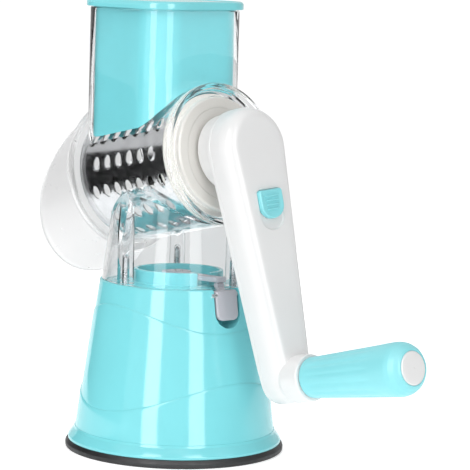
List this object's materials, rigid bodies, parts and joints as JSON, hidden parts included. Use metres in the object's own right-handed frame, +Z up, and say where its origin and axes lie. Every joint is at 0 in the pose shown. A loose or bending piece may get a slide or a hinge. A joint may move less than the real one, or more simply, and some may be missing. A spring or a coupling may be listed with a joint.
{
  "type": "rotary cabbage shredder",
  "caption": "Hand cranked rotary shredder: perforated drum in a tilted clear barrel, feed tube with pusher, splash guard, and a conical base on a lever operated suction foot.",
  "frame": {"origin": "centre of the suction foot's underside, on the table", "axes": "+Z up; +X to the crank side; the drum axis lies in the XZ plane and rises 12.6 degrees towards +X; -X is the outlet side"},
  "size_m": [0.251, 0.125, 0.2549],
  "materials": {
    "turquoise_plastic": "gloss ABS, turquoise",
    "clear_plastic": "clear moulded plastic",
    "white_plastic": "gloss ABS, white",
    "grey_plastic": "satin ABS, light grey",
    "steel_sheet": "polished stainless sheet",
    "steel_pin": "turned steel",
    "black_rubber": "soft rubber"
  },
  "bodies": {
    "stand": {"base_shell": "turquoise_plastic", "floor_plate": "white_plastic", "floor_plate_screws": "steel_pin", "suction_foot": "black_rubber", "lever_pin": "steel_pin", "rod_spring": "steel_pin", "housing_skirt": "clear_plastic", "housing_screws": "steel_pin", "feed_tube": "clear_plastic", "drum_housing": "clear_plastic"},
    "foot_lift": {"pull_rod": "steel_pin", "rod_clip": "steel_pin", "lift_bar": "white_plastic"},
    "lever": {"suction_lever": "grey_plastic"},
    "guard": {"splash_guard": "clear_plastic"},
    "rotor": {"shredding_drum": "steel_sheet", "drum_cap": "white_plastic", "drum_stub": "steel_pin", "crank_back": "white_plastic", "crank_cover": "white_plastic", "crank_screws": "steel_pin", "latch_spring": "steel_pin", "grip_spindle": "steel_pin", "grip_screw": "steel_pin"},
    "button": {"release_button": "turquoise_plastic", "latch_plate": "steel_pin"},
    "handle": {"grip": "turquoise_plastic", "grip_end_cap": "white_plastic"},
    "pusher": {"pusher": "turquoise_plastic", "pusher_lid": "turquoise_plastic"}
  },
  "joints": [
    {"name": "crank_turn", "type": "hinge", "parent": "stand", "child": "rotor", "pos_m": [0, 0, 0.1637], "axis": [0.9759, 0, 0.2181], "continuous": true},
    {"name": "grip_spin", "type": "hinge", "parent": "rotor", "child": "handle", "pos_m": [0.09639, 0.009, 0.05338], "axis": [0.9759, 0, 0.2181], "continuous": true},
    {"name": "button_slide", "type": "slide", "parent": "rotor", "child": "button", "axis": [0.2176, 0.0698, -0.9735], "range_m": [0, 0.0055], "stiffness_N_per_m": 300, "deforming": ["latch_spring"]},
    {"name": "lever_flip", "type": "hinge", "parent": "stand", "child": "lever", "pos_m": [0.0426, -0.0032, 0.0934], "axis": [0, -1, 0], "range_deg": [0, 95.2]},
    {"name": "foot_slide", "type": "slide", "parent": "stand", "child": "foot_lift", "axis": [0, 0, -1], "range_m": [0, 0.0032], "deforming": ["rod_spring", "suction_foot"]},
    {"name": "guard_off", "type": "slide", "parent": "stand", "child": "guard", "axis": [-0.9759, 0, -0.2181], "range_m": [0, 0.035]},
    {"name": "pusher_lift", "type": "slide", "parent": "stand", "child": "pusher", "axis": [0, 0, 1], "range_m": [0, 0.08]}
  ],
  "couplings": [
    {"joint": "lever_flip", "follows": "foot_slide", "rad_per_m": 518.14}
  ]
}
